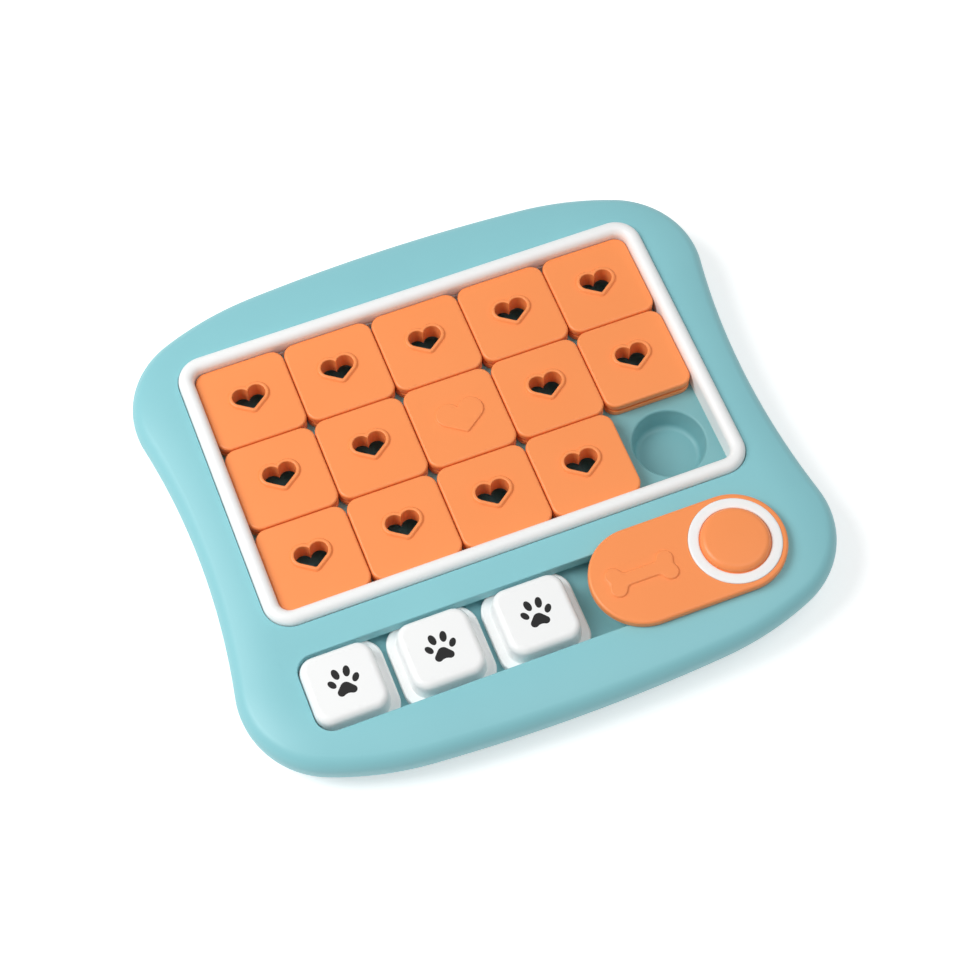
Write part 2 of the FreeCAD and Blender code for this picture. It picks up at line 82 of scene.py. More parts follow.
# %% Node and colour helpers
def add_node(tree, kind, inputs=None, **settings):
    node = tree.nodes.new(kind)
    for name, value in settings.items():
        setattr(node, name, value)
    for name, value in (inputs or {}).items():
        if isinstance(value, bpy.types.NodeSocket):
            tree.links.new(value, node.inputs[name])
        else:
            node.inputs[name].default_value = value
    return node


def linear(hex_colour):
    channels = [int(hex_colour[k:k + 2], 16) / 255 for k in (0, 2, 4)]
    return [c / 12.92 if c <= 0.04045 else ((c + 0.055) / 1.055) ** 2.4 for c in channels] + [1.0]


def new_material(name):
    material = bpy.data.materials.new(name)
    material.use_nodes = True
    material.node_tree.nodes.clear()
    return material, material.node_tree


print("node helpers ready, white is", linear("ffffff"))

# %% [markdown]
# ## Moulded ABS
# The housing, tiles, keys and lid are injection moulded ABS. Its pigment runs all through, so no edge
# is a different colour. The mould is finely etched, which gives the skin a soft satin gloss: a broad
# highlight with no mirror image. ABS has an IOR of about 1.54. The etched grain is some 0.1 mm
# wide, too fine to show from here, so it is drawn about 0.7 mm wide and very shallow. A slow change
# of tint and gloss over some 40 mm stands for the flow of the melt in the mould. The bowl tray is
# more matt than the housing, and its colour is made darker as painted shade, standing for the shade
# deep in the bowls and in the gaps under the tiles.

# %% Moulded ABS
GRAIN_MM = 0.7
GRAIN_DEPTH_MM = 0.004
FLOW_MM = 40.0
GLOSS_SPREAD = 0.05
ABS_IOR = 1.54


def moulded_abs(name, light_hex, dark_hex, roughness):
    material, tree = new_material(name)
    place = add_node(tree, "ShaderNodeTexCoord").outputs["Object"]
    flow = add_node(tree, "ShaderNodeTexNoise", {
        "Vector": place, "Scale": 1 / (FLOW_MM * MM), "Detail": 2.0})
    grain = add_node(tree, "ShaderNodeTexNoise", {
        "Vector": place, "Scale": 1 / (GRAIN_MM * MM), "Detail": 3.0})
    tint = add_node(tree, "ShaderNodeMix", {
        0: flow.outputs["Fac"], 6: linear(dark_hex), 7: linear(light_hex)}, data_type="RGBA")
    gloss = add_node(tree, "ShaderNodeMapRange", {
        "Value": flow.outputs["Fac"], "To Min": roughness - GLOSS_SPREAD, "To Max": roughness + GLOSS_SPREAD})
    bump = add_node(tree, "ShaderNodeBump", {
        "Height": grain.outputs["Fac"], "Distance": GRAIN_DEPTH_MM * MM, "Strength": 0.6})
    shader = add_node(tree, "ShaderNodeBsdfPrincipled", {
        "Base Color": tint.outputs[2], "Roughness": gloss.outputs["Result"], "IOR": ABS_IOR,
        "Normal": bump.outputs["Normal"]})
    add_node(tree, "ShaderNodeOutputMaterial", {"Surface": shader.outputs["BSDF"]})
    return material


teal_abs = moulded_abs("moulded_teal_abs", "8cccd3", "87c7cf", 0.44)
# Painted shade: the tray colour is darkened to stand for the shade deep in the bowls and under the tiles
tray_abs_painted_shade = moulded_abs("tray_abs_darkened_as_painted_shade", "7cb3b8", "77afb4", 0.50)
orange_abs = moulded_abs("moulded_orange_abs", "ff9855", "fd9450", 0.42)
white_abs = moulded_abs("moulded_white_abs", "fafbfa", "f7f8f8", 0.40)
print("ABS finishes:", teal_abs.name, tray_abs_painted_shade.name, orange_abs.name, white_abs.name)

# %% [markdown]
# ## Zinc plated steel, rubber and ink
# The screws and the washer are steel with a thin bright zinc layer: a grey metal with fine cloudy
# spangle, about 1 mm wide. The feet are moulded rubber: dark, matt and slightly speckled by
# filler. The paw prints are black pad-printed ink, which is smoother than the key below it.

# %% Zinc, rubber and ink
SPANGLE_MM = 1.0
SPECK_MM = 0.6


def speckled(name, light_hex, dark_hex, size_mm, rough_low, rough_high, depth_mm,
             metallic=0.0, ior=1.5):
    material, tree = new_material(name)
    place = add_node(tree, "ShaderNodeTexCoord").outputs["Object"]
    speck = add_node(tree, "ShaderNodeTexNoise", {
        "Vector": place, "Scale": 1 / (size_mm * MM), "Detail": 4.0})
    tint = add_node(tree, "ShaderNodeMix", {
        0: speck.outputs["Fac"], 6: linear(dark_hex), 7: linear(light_hex)}, data_type="RGBA")
    gloss = add_node(tree, "ShaderNodeMapRange", {
        "Value": speck.outputs["Fac"], "To Min": rough_low, "To Max": rough_high})
    bump = add_node(tree, "ShaderNodeBump", {
        "Height": speck.outputs["Fac"], "Distance": depth_mm * MM, "Strength": 0.5})
    shader = add_node(tree, "ShaderNodeBsdfPrincipled", {
        "Base Color": tint.outputs[2], "Roughness": gloss.outputs["Result"], "Metallic": metallic,
        "Normal": bump.outputs["Normal"]})
    if not metallic:
        shader.inputs["IOR"].default_value = ior
    add_node(tree, "ShaderNodeOutputMaterial", {"Surface": shader.outputs["BSDF"]})
    return material


zinc_steel = speckled("zinc_plated_steel", "c9cbcc", "a9adaf", SPANGLE_MM, 0.25, 0.38, 0.004,
                      metallic=1.0)
foot_rubber = speckled("moulded_rubber", "4a4e50", "34383a", SPECK_MM, 0.75, 0.9, 0.02, ior=1.52)
paw_ink = speckled("pad_printed_ink", "0c0c0d", "060607", SPECK_MM, 0.5, 0.6, 0.002, ior=1.4)
print("other finishes:", zinc_steel.name, foot_rubber.name, paw_ink.name)

# %% [markdown]
# ## Outlines
# Nearly every piece of this toy is a flat shape with rounded corners that is raised, stepped and
# softened at its edges. So each shape is written once as a closed outline that can grow or shrink by
# an offset. The outline is a row of arcs, and its straight runs are simply what lies between two arcs.

# %% Outline helpers
NEAR = 1e-4


def arc(centre, radius, start, stop, steps):
    points = []
    for k in range(steps + 1):
        turn = math.radians(start + (stop - start) * k / steps)
        points.append((centre[0] + radius * math.cos(turn), centre[1] + radius * math.sin(turn)))
    return points


def closed(points):
    kept = []
    for point in points:
        if not kept or math.dist(point, kept[-1]) > NEAR:
            kept.append(point)
    if math.dist(kept[0], kept[-1]) <= NEAR:
        kept.pop()
    return kept


def rectangle(left, right, front, back, radius, steps=8):
    corners = ((right - radius, back - radius, 0), (left + radius, back - radius, 90),
               (left + radius, front + radius, 180), (right - radius, front + radius, 270))
    points = []
    for x, y, start in corners:
        points += arc((x, y), radius, start, start + 90, steps)
    return closed(points)


def centred(width, depth, radius, x=0.0, y=0.0, steps=8):
    return rectangle(x - width / 2, x + width / 2, y - depth / 2, y + depth / 2, radius, steps)


def circle(radius, x=0.0, y=0.0, steps=48):
    return closed(arc((x, y), radius, 0, 360, steps))


def eased(points, count, passes):
    # Spreads points evenly along a closed outline, then draws each one towards its neighbours
    lengths = [math.dist(points[k - 1], points[k]) for k in range(len(points))]
    step = sum(lengths) / count
    even = []
    travelled = 0.0
    for k, length in enumerate(lengths):
        start, stop = points[k - 1], points[k]
        while len(even) < count and len(even) * step <= travelled + length:
            share = (len(even) * step - travelled) / length
            even.append(tuple(a + (b - a) * share for a, b in zip(start, stop)))
        travelled += length
    for _ in range(passes):
        even = [tuple(0.25 * a + 0.5 * b + 0.25 * c for a, b, c in zip(even[k - 2], even[k - 1], even[k]))
                for k in range(len(even))]
    return even


def mirrored(points):
    return [(-x, y) for x, y in reversed(points)]


print("a tile outline has", len(centred(47.5, 47.5, 6.6)), "points")

# %% [markdown]
# ## Skins
# A skin is a closed mesh made from rings of points. Rings with the same number of points are
# bridged with quads, and a flat cap fills the space between an outer ring and any number of inner
# ones. This gives full control of every rounded edge, which a bevel modifier would not. Only where
# an opening crosses a curved face are two skins combined by the exact boolean solver. At the end
# the face directions are made consistent, and a weighted normal modifier keeps the large flats
# flat where they meet the small rounds.

# %% Skin helpers
ALL_PIECES = []
SHARP_ANGLE = 40
FLAT_WEIGHT = 80


def ring(mesh, points, height):
    return [mesh.verts.new((x * MM, y * MM, height * MM)) for x, y in points]


def bridge(mesh, low, high):
    count = len(low)
    for k in range(count):
        mesh.faces.new((low[k - 1], low[k], high[k], high[k - 1]))


def wall(mesh, levels):
    # Bridges rings given as pairs of outline and height, and returns the first and the last ring
    rings = [ring(mesh, points, height) for points, height in levels]
    for low, high in zip(rings, rings[1:]):
        bridge(mesh, low, high)
    return rings[0], rings[-1]


def cap(mesh, outer, holes=()):
    loops = [outer] + list(holes)
    flat = [corner for loop in loops for corner in loop]
    for triangle in tessellate_polygon([[corner.co for corner in loop] for loop in loops]):
        mesh.faces.new([flat[k] for k in triangle])


def closed_wall(mesh, levels):
    # A wall with a flat cap on each end, which makes a closed skin
    low, high = wall(mesh, levels)
    cap(mesh, low)
    cap(mesh, high)


def make_piece(name, mesh, material, body, nodes=()):
    bmesh.ops.recalc_face_normals(mesh, faces=mesh.faces)
    data = bpy.data.meshes.new(name)
    mesh.to_mesh(data)
    mesh.free()
    data.materials.append(material)
    data.shade_smooth()
    data.set_sharp_from_angle(angle=math.radians(SHARP_ANGLE))
    piece = bpy.data.objects.new(name, data)
    bpy.context.scene.collection.objects.link(piece)
    weighted = piece.modifiers.new("flats", "WEIGHTED_NORMAL")
    weighted.keep_sharp = True
    weighted.weight = FLAT_WEIGHT
    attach(piece, body)
    if nodes:
        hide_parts(*nodes)
    ALL_PIECES.append(name)


def combined(first, second, operation):
    # Joins or cuts two skins with the exact boolean solver, and returns the result as one skin
    holders = []
    for mesh in (first, second):
        bmesh.ops.recalc_face_normals(mesh, faces=mesh.faces)
        data = bpy.data.meshes.new("part_of_skin")
        mesh.to_mesh(data)
        mesh.free()
        holders.append(bpy.data.objects.new("part_of_skin", data))
        bpy.context.scene.collection.objects.link(holders[-1])
    boolean = holders[0].modifiers.new("combine", "BOOLEAN")
    boolean.operation = operation
    boolean.solver = "EXACT"
    boolean.object = holders[1]
    held = holders[0].evaluated_get(bpy.context.evaluated_depsgraph_get())
    result = bmesh.new()
    result.from_mesh(held.to_mesh())
    held.to_mesh_clear()
    for holder in holders:
        data = holder.data
        bpy.data.objects.remove(holder)
        bpy.data.meshes.remove(data)
    return result


def softened(radius, steps):
    # Offset and drop along a quarter round edge, from its flat top down to its side
    turns = [math.radians(90 * k / steps) for k in range(steps + 1)]
    return [(radius * (1 - math.sin(turn)), radius * (1 - math.cos(turn))) for turn in turns]


print("a 1 mm edge in three steps:", [tuple(round(v, 2) for v in pair) for pair in softened(1.0, 3)])

# %% [markdown]
# ## Housing
# The housing is two mouldings that meet at a fine seam low on the side. Its outline bulges at the
# four corners and pulls in at the waist, and is four arcs a quarter. It follows the photograph more
# closely than the outline of the solids, and lies 1.1 mm further back. The section is arcs too: a
# deck that falls away gently, a round edge, and a belly that tucks under. Sweeping the section round
# the outline is the same as drawing the outline again and again, each time further in and lower.

# %% Housing outline and section
OUTLINE_Y = 1.1
HALF_DEPTH = 140.7
HALF_WAIST = 148.2
END_RADIUS = 975.0
END_ANGLE = 4.502
SHOULDER_RADIUS = 167.0
SHOULDER_ANGLE = 17.8
CORNER_RADIUS = 46.9
DECK = 32.1
WALL = 2.4
CROWN_RADIUS = 70.0
CROWN_ANGLE = 15.0
EDGE_RADIUS = 8.5
BELLY_RATIO = 1.279
BELLY_ANGLE = 40.0
SEAM = 12.0
SEAM_ROUND = 0.45
BASE_GAP = 1.5
belt = DECK - CROWN_RADIUS + (CROWN_RADIUS - EDGE_RADIUS) * math.cos(math.radians(CROWN_ANGLE))
belly_radius = BELLY_RATIO * (belt - BASE_GAP)
deck_inset = EDGE_RADIUS + (CROWN_RADIUS - EDGE_RADIUS) * math.sin(math.radians(CROWN_ANGLE))
belly_sine = math.sin(math.radians(BELLY_ANGLE))
belly_cosine = math.cos(math.radians(BELLY_ANGLE))
sole_radius = (belt - BASE_GAP - belly_radius * belly_sine) / (1 - belly_sine)
sole_inset = belly_radius * (1 - belly_cosine) + sole_radius * belly_cosine


def housing_outline(inset):
    end = math.radians(END_ANGLE)
    corner = math.radians(END_ANGLE + SHOULDER_ANGLE)
    end_y = HALF_DEPTH - END_RADIUS
    shoulder_x = (END_RADIUS - SHOULDER_RADIUS) * math.sin(end)
    shoulder_y = end_y + (END_RADIUS - SHOULDER_RADIUS) * math.cos(end)
    corner_x = shoulder_x + (SHOULDER_RADIUS - CORNER_RADIUS) * math.sin(corner)
    corner_y = shoulder_y + (SHOULDER_RADIUS - CORNER_RADIUS) * math.cos(corner)
    reach = HALF_WAIST - corner_x
    side = (reach ** 2 + corner_y ** 2 - CORNER_RADIUS ** 2) / (2 * (CORNER_RADIUS - reach))
    side_angle = math.degrees(math.asin(corner_y / (CORNER_RADIUS + side)))
    corner_stop = 90 - END_ANGLE - SHOULDER_ANGLE
    quarter = arc((HALF_WAIST + side, 0), side + inset, 180, 180 - side_angle, 12)
    quarter += arc((corner_x, corner_y), CORNER_RADIUS - inset, -side_angle, corner_stop, 24)
    quarter += arc((shoulder_x, shoulder_y), SHOULDER_RADIUS - inset, corner_stop, 90 - END_ANGLE, 10)
    quarter += arc((0, end_y), END_RADIUS - inset, 90 - END_ANGLE, 90, 8)
    half = quarter + mirrored(quarter)
    return closed([(x, y + OUTLINE_Y) for x, y in half] + [(-x, OUTLINE_Y - y) for x, y in half])


def belly_stop(height, inset=0.0):
    return 180 + math.degrees(math.asin((belt - height) / (belly_radius - inset)))


def section_levels(arcs):
    # Turns arcs of the section, with x measured inwards from the widest line, into outlines
    points = []
    for centre, radius, start, stop, steps in arcs:
        points += arc(centre, radius, start, stop, steps)
    return [(housing_outline(inset), height) for inset, height in closed(points)]


print("housing about", round(2 * max(x for x, y in housing_outline(0))), "by", round(2 * HALF_DEPTH), "mm")

# %% [markdown]
# The upper moulding has a window for the tiles and a long channel for the keys, each with a small
# round at its top edge. The channel's edge goes on down as a lip that holds the keys in. The crown
# of the deck dips a little under both openings, so they are cut with the exact boolean solver, by a
# cutter that flares at its top edge.

# %% Upper housing
GRID_Y = 28.8
PITCH = 48.0
COLUMNS = 5
ROWS = 3
HALF_GRID_X = COLUMNS * PITCH / 2
HALF_GRID_Y = ROWS * PITCH / 2
RIM_WIDTH = 8.0
RIM_CORNER = 14.0
FRAME_GAP = 0.3
CHANNEL_Y = -88.8
CHANNEL_LEFT = -123.6
CHANNEL_RIGHT = 76.0
CHANNEL_HALF = 20.6
CHANNEL_CORNER = 9.0
LIP_BOTTOM = 25.2
LIP_WALL = 2.0
CHANNEL_ROUND = 0.8
WINDOW_ROUND = 0.5
CUT_OVER = 2.0
TRAY_FLOOR = 21.1
PIVOT_X = 100.0
POST_RADIUS = 7.0


def channel(grow):
    return rectangle(CHANNEL_LEFT - grow, CHANNEL_RIGHT + grow, CHANNEL_Y - CHANNEL_HALF - grow,
                     CHANNEL_Y + CHANNEL_HALF + grow, CHANNEL_CORNER + grow, 10)


def window(grow):
    reach = RIM_WIDTH + FRAME_GAP + grow
    return rectangle(-HALF_GRID_X - reach, HALF_GRID_X + reach, GRID_Y - HALF_GRID_Y - reach,
                     GRID_Y + HALF_GRID_Y + reach, RIM_CORNER + FRAME_GAP + grow, 10)


crown = (deck_inset, DECK - CROWN_RADIUS)
edge = (EDGE_RADIUS, belt)
belly = (belly_radius, belt)
lean = 90 + CROWN_ANGLE
outside = section_levels([(crown, CROWN_RADIUS, 90, lean, 8), (edge, EDGE_RADIUS, lean, 180, 12),
                          (belly, belly_radius, 180, belly_stop(SEAM + SEAM_ROUND), 8)])
seam_inset = belly_radius - math.sqrt(belly_radius ** 2 - (belt - SEAM) ** 2)
seam_edge = [(housing_outline(seam_inset + SEAM_ROUND), SEAM)]
inside = section_levels([(belly, belly_radius - WALL, belly_stop(SEAM, WALL), 180, 6),
                         (edge, EDGE_RADIUS - WALL, 180, lean, 8),
                         (crown, CROWN_RADIUS - WALL, lean, 90, 6)])
shell = bmesh.new()
deck_edge, deck_inner = wall(shell, outside + seam_edge + inside)
cap(shell, deck_edge)
cap(shell, deck_inner)

lip = bmesh.new()
closed_wall(lip, [(channel(LIP_WALL), LIP_BOTTOM), (channel(LIP_WALL), DECK - WALL / 2)])

cutter = bmesh.new()
for opening, soft in ((channel, CHANNEL_ROUND), (window, WINDOW_ROUND)):
    flare = [(opening(out), DECK - drop) for out, drop in softened(soft, 4)]
    closed_wall(cutter, [(opening(soft), DECK + CUT_OVER)] + flare + [(opening(0), TRAY_FLOOR)])
shell = combined(combined(shell, lip, "UNION"), cutter, "DIFFERENCE")
make_piece("housing_top", shell, teal_abs, "base", ["top_shell"])
print("upper housing runs from", SEAM, "to", DECK, "mm")

# %% [markdown]
# The pivot post for the lid is part of the same moulding. It is a plain short turned peg, so it is
# a small skin of its own. The cover takes the rest of the belly and the flat sole. The pockets for
# the feet and the deep wells for the screws run out into the curve of the belly, so they are cut too.

# %% Pivot post and bottom cover
LID_BOTTOM = 32.4
WEB_TOP = 34.2
POST_TOP = 34.4
FOOT_RADIUS = 8.0
FOOT_POCKET = 1.0
POCKET_GAP = 0.1
WELL_RADIUS = 3.5
WELL_DEPTH = 4.0
WELL_CHAMFER = 0.4
TOWER_TOP = 8.0
FOOT_PLACES = [(x, y) for x in (-112.0, 0.0, 112.0) for y in (93.0, -93.0)]
SCREW_PLACES = [(x, y) for x in (-88.0, 88.0) for y in (118.0, -58.5, -118.8)]

post = bmesh.new()
closed_wall(post, [(circle(POST_RADIUS, PIVOT_X, CHANNEL_Y), DECK - WALL),
                   (circle(POST_RADIUS, PIVOT_X, CHANNEL_Y), POST_TOP)])
make_piece("lid_post", post, teal_abs, "base")

sole = (sole_inset, BASE_GAP + sole_radius)
lean = 180 + BELLY_ANGLE
cover = bmesh.new()
outside = section_levels([(belly, belly_radius, belly_stop(SEAM - SEAM_ROUND), lean, 6),
                          (sole, sole_radius, lean, 270, 10)])
inside = section_levels([(sole, sole_radius - WALL, 270, lean, 6),
                         (belly, belly_radius - WALL, lean, belly_stop(SEAM, WALL), 4)])
sole_edge, seam_ring = wall(cover, outside[::-1] + seam_edge)
floor_edge, inner_ring = wall(cover, inside)
bridge(cover, seam_ring, inner_ring)
cap(cover, sole_edge)
cap(cover, floor_edge)
towers = bmesh.new()
cutter = bmesh.new()
for x, y in SCREW_PLACES:
    tower = circle(WELL_RADIUS + WALL / 2, x, y)
    closed_wall(towers, [(tower, BASE_GAP + WALL / 2), (tower, TOWER_TOP)])
    mouth = circle(WELL_RADIUS + WELL_CHAMFER, x, y)
    well = circle(WELL_RADIUS, x, y)
    closed_wall(cutter, [(mouth, 0.0), (mouth, BASE_GAP), (well, BASE_GAP + WELL_CHAMFER),
                         (well, BASE_GAP + WELL_DEPTH)])
for x, y in FOOT_PLACES:
    pocket = circle(FOOT_RADIUS + POCKET_GAP, x, y)
    closed_wall(cutter, [(pocket, 0.0), (pocket, BASE_GAP + FOOT_POCKET)])
cover = combined(combined(cover, towers, "UNION"), cutter, "DIFFERENCE")
make_piece("housing_cover", cover, teal_abs, "base", ["bottom_cover"])
print("cover with", len(FOOT_PLACES), "foot pockets and", len(SCREW_PLACES), "screw wells")

# %% [markdown]
# ## Feet and screws
# Each foot is a moulded rubber disc with a round edge and a shallow dish, so that it grips on its
# rim. Each screw is a pan head with a cross recess for the driver. Six of each are drawn in one
# mesh, because they are the same and never move apart.

# %% Feet and screws
FOOT_ROUND = 0.6
DISH_RIM = 2.2
DISH_FALL = 0.7
DISH_DEPTH = 0.35
feet = bmesh.new()
for x, y in FOOT_PLACES:
    side = [(circle(FOOT_RADIUS - out, x, y), drop) for out, drop in softened(FOOT_ROUND, 4)]
    dish = [(circle(FOOT_RADIUS - DISH_RIM, x, y), 0.0),
            (circle(FOOT_RADIUS - DISH_RIM - DISH_FALL, x, y), DISH_DEPTH)]
    bottom, top = wall(feet, dish[::-1] + side + [(circle(FOOT_RADIUS, x, y), BASE_GAP + FOOT_POCKET)])
    cap(feet, bottom)
    cap(feet, top)
make_piece("feet_six", feet, foot_rubber, "base", ["rubber_feet"])

HEAD_RADIUS = 3.1
HEAD_HEIGHT = 2.2
HEAD_ROUND = 1.1
SHANK_RADIUS = 1.5
SHANK_LENGTH = 13.0
TIP_END = 0.2
CROSS_HALF = 1.7
CROSS_ARM = 0.4
CROSS_TAPER = 0.6
CROSS_DEPTH = 1.3


def cross(x, y, grow):
    long = CROSS_HALF - grow
    short = CROSS_ARM - grow * 0.3
    corners = [(long, -short), (long, short), (short, short), (short, long), (-short, long),
               (-short, short)]
    return [(x + side * along, y + side * across) for side in (1, -1) for along, across in corners]


screws = bmesh.new()
for x, y in SCREW_PLACES:
    seat = BASE_GAP + WELL_DEPTH
    face = seat - HEAD_HEIGHT
    levels = [(circle(HEAD_RADIUS - out, x, y), face + drop) for out, drop in softened(HEAD_ROUND, 5)]
    levels += [(circle(HEAD_RADIUS, x, y), seat), (circle(SHANK_RADIUS, x, y), seat),
               (circle(SHANK_RADIUS, x, y), seat + SHANK_LENGTH - SHANK_RADIUS),
               (circle(TIP_END, x, y), seat + SHANK_LENGTH)]
    rim, tip = wall(screws, levels)
    cap(screws, tip)
    mouth, bottom = wall(screws, [(cross(x, y, 0), face), (cross(x, y, CROSS_TAPER), face + CROSS_DEPTH)])
    cap(screws, rim, [mouth])
    cap(screws, bottom)
make_piece("cover_screws_six", screws, zinc_steel, "base", ["cover_screws"])
print("feet:", len(FOOT_PLACES), "screws:", len(SCREW_PLACES))

# %% [markdown]
# ## Bowl tray
# Under the tiles lies one moulding with fifteen small bowls. Only the bowl of the free cell shows,
# with a soft lip, a slightly tapered wall and a round where it meets its floor. The others are seen
# through the heart holes, as darkness. One bowl is a row of circles, and the tray repeats it. The
# tray's own rim follows the window above it, so both are one outline at two offsets.

# %% Bowl tray
TRAY_TOP = 28.6
TRAY_WALL = 2.4
BOWL_RADIUS = 18.85
BOWL_FOOT = 17.2
BOWL_DEPTH = 13.4
BOWL_LIP = 1.4
BOWL_ROUND = 3.0
BOWL_WALL = 2.0


def cell(row, column):
    return (column - 3) * PITCH, (2 - row) * PITCH + GRID_Y


tray = bmesh.new()
outer_low, outer_top = wall(tray, [(window(TRAY_WALL), TRAY_FLOOR - TRAY_WALL), (window(TRAY_WALL), TRAY_TOP),
                                   (window(0), TRAY_TOP), (window(0), TRAY_FLOOR)])
mouths = []
sockets = []
for row in range(1, ROWS + 1):
    for column in range(1, COLUMNS + 1):
        x, y = cell(row, column)
        inside = [(circle(BOWL_RADIUS + out, x, y), TRAY_FLOOR - drop) for out, drop in softened(BOWL_LIP, 5)]
        floor = TRAY_FLOOR - BOWL_DEPTH
        for k in range(6):
            turn = math.radians(90 * k / 5)
            radius = BOWL_FOOT - BOWL_ROUND * (1 - math.cos(turn))
            inside.append((circle(radius, x, y), floor + BOWL_ROUND * (1 - math.sin(turn))))
        mouth, bottom = wall(tray, inside)
        cap(tray, bottom)
        mouths.append(mouth)
        socket, under = wall(tray, [(circle(BOWL_RADIUS + BOWL_WALL, x, y), TRAY_FLOOR - TRAY_WALL),
                                    (circle(BOWL_FOOT + BOWL_WALL, x, y), floor - BOWL_WALL)])
        cap(tray, under)
        sockets.append(socket)
cap(tray, outer_top, mouths)
cap(tray, outer_low, sockets)
make_piece("bowl_tray_fifteen", tray, tray_abs_painted_shade, "base", ["bowl_tray"])
print("tray with", len(mouths), "bowls")

# %% [markdown]
# ## White frame
# The frame round the tiles is a half round bead that stands proud of the deck, and its inner wall
# runs down to the tray. A groove in its left and back walls takes the tongues of the tiles beside
# it. The rings of its section go round and end where they began.

# %% Tile frame
RIM_TOP = 35.9
RIM_HALF = RIM_WIDTH / 2
TONGUE_MIDDLE = 25.6
GROOVE_HALF = 0.9
GROOVE_DEPTH = 2.6
GROOVE_LOW = TONGUE_MIDDLE - GROOVE_HALF
GROOVE_HIGH = TONGUE_MIDDLE + GROOVE_HALF
LEAST_CORNER = 0.2


def frame_outline(grow, groove=0.0):
    corner = RIM_CORNER - RIM_WIDTH + grow
    return rectangle(-HALF_GRID_X - grow - groove, HALF_GRID_X + grow, GRID_Y - HALF_GRID_Y - grow,
                     GRID_Y + HALF_GRID_Y + grow + groove, max(corner, LEAST_CORNER), 12)


bead = bmesh.new()
levels = [(frame_outline(RIM_WIDTH), TRAY_FLOOR)]
for k in range(17):
    turn = math.radians(180 * k / 16)
    levels.append((frame_outline(RIM_HALF + RIM_HALF * math.cos(turn)),
                   RIM_TOP - RIM_HALF * (1 - math.sin(turn))))
levels += [(frame_outline(0), GROOVE_HIGH), (frame_outline(0, GROOVE_DEPTH), GROOVE_HIGH),
           (frame_outline(0, GROOVE_DEPTH), GROOVE_LOW), (frame_outline(0), GROOVE_LOW),
           (frame_outline(0), TRAY_FLOOR)]
first, last = wall(bead, levels)
bridge(bead, last, first)
make_piece("tile_frame_bead", bead, white_abs, "base", ["tile_frame"])
print("frame bead", RIM_WIDTH, "mm wide, top at", RIM_TOP)

# %% [markdown]
# ## Heart tiles
# Thirteen tiles have a heart shaped hole with a raised sloping lip, and the middle one has a larger
# raised heart instead. The outline of a heart is two lobes, two straight flanks and a small round
# tip, and it grows evenly, so the lip and the hole are the same heart at other offsets.

# %% Heart outline
LOBE_RADIUS = 4.55
LOBE_X = 4.1
LOBE_Y = 2.7
TIP_RADIUS = 0.8
TIP_DROP = 4.8


def heart(grow, x=0.0, y=0.0, scale=1.0):
    reach = math.hypot(LOBE_X, LOBE_Y + TIP_DROP)
    lean = math.degrees(math.atan2(LOBE_Y + TIP_DROP, LOBE_X))
    flank = lean - 90 - math.degrees(math.asin((LOBE_RADIUS - TIP_RADIUS) / reach))
    lobe = LOBE_RADIUS + grow
    cleft = math.degrees(math.atan2(math.sqrt(max(lobe ** 2 - LOBE_X ** 2, 0.0)), -LOBE_X))
    points = arc((0, -TIP_DROP), TIP_RADIUS + grow, -180 - flank, flank, 10)
    points += arc((LOBE_X, LOBE_Y), lobe, flank, cleft, 20)
    points += arc((-LOBE_X, LOBE_Y), lobe, 180 - cleft, 180 - flank, 20)
    return [(x + scale * px, y + scale * py) for px, py in closed(points)]


print("heart", round(2 * max(px for px, py in heart(0)), 1), "mm wide")

# %% [markdown]
# A tile is a hollow moulding. From its bottom edge the wall rises to a groove, which is cut only into
# the right and front sides, so its rings are pulled in on two sides alone. Above the groove comes the
# visible plate with a soft top edge. A tongue stands on the left and back sides, and slides in the
# neighbour's groove. It ends short of the round corners, so a small gap is left wherever four tiles
# meet. All fourteen tiles come from one function, each at its own cell.

# %% Tiles
TILE = 47.5
TILE_CORNER = 6.6
TILE_BOTTOM = 21.3
TILE_TOP = 30.5
TILE_ROUND = 1.3
TILE_FOOT_ROUND = 0.4
TONGUE_HALF = 0.6
TONGUE_LENGTH = 2.0
TONGUE_ROUND = 0.35
TONGUE_ROOT = 3.0
GROOVE_CHAMFER = 0.25
SKIN = 2.0
HOLLOW_INSET = 4.0
HEART_TUBE = 1.5
LIP_HEIGHT = 1.3
# Sections of the lip and of the raised heart: the outline's offset, then the height, which for the
# lip is a share of LIP_HEIGHT
LIP_RISE = ((2.4, 0.0), (2.3, 0.1), (2.0, 0.42), (1.7, 0.8), (1.45, 0.94), (1.15, 1.0), (0.6, 1.0),
            (0.33, 0.95), (0.12, 0.8), (0.0, 0.5))
BIG_HEART = 1.45
BIG_HEART_X = 0.8
BIG_HEART_Y = -1.5
HEART_RISE = ((0.4, 0.0), (0.28, 0.12), (0.12, 0.5), (-0.02, 0.9), (-0.15, 1.04), (-0.32, 1.1))


def tongue(mesh, left, right, front, back):
    # A thin bar with rounded edges, drawn as a small closed skin of its own
    levels = []
    for k in range(7):
        turn = math.radians(-90 + 180 * k / 6)
        side = 1 if turn > 0 else -1
        lift = (TONGUE_HALF - TONGUE_ROUND) * side + TONGUE_ROUND * math.sin(turn)
        inset = TONGUE_ROUND * (1 - math.cos(turn))
        outline = rectangle(left + inset, right - inset, front + inset, back - inset, TONGUE_ROUND, 3)
        levels.append((outline, TONGUE_MIDDLE + lift))
    closed_wall(mesh, levels)


def tile_outline(x, y, inset, groove=0.0):
    half = TILE / 2 - inset
    return rectangle(x - half, x + half - groove, y - half + groove, y + half, TILE_CORNER - inset, 8)


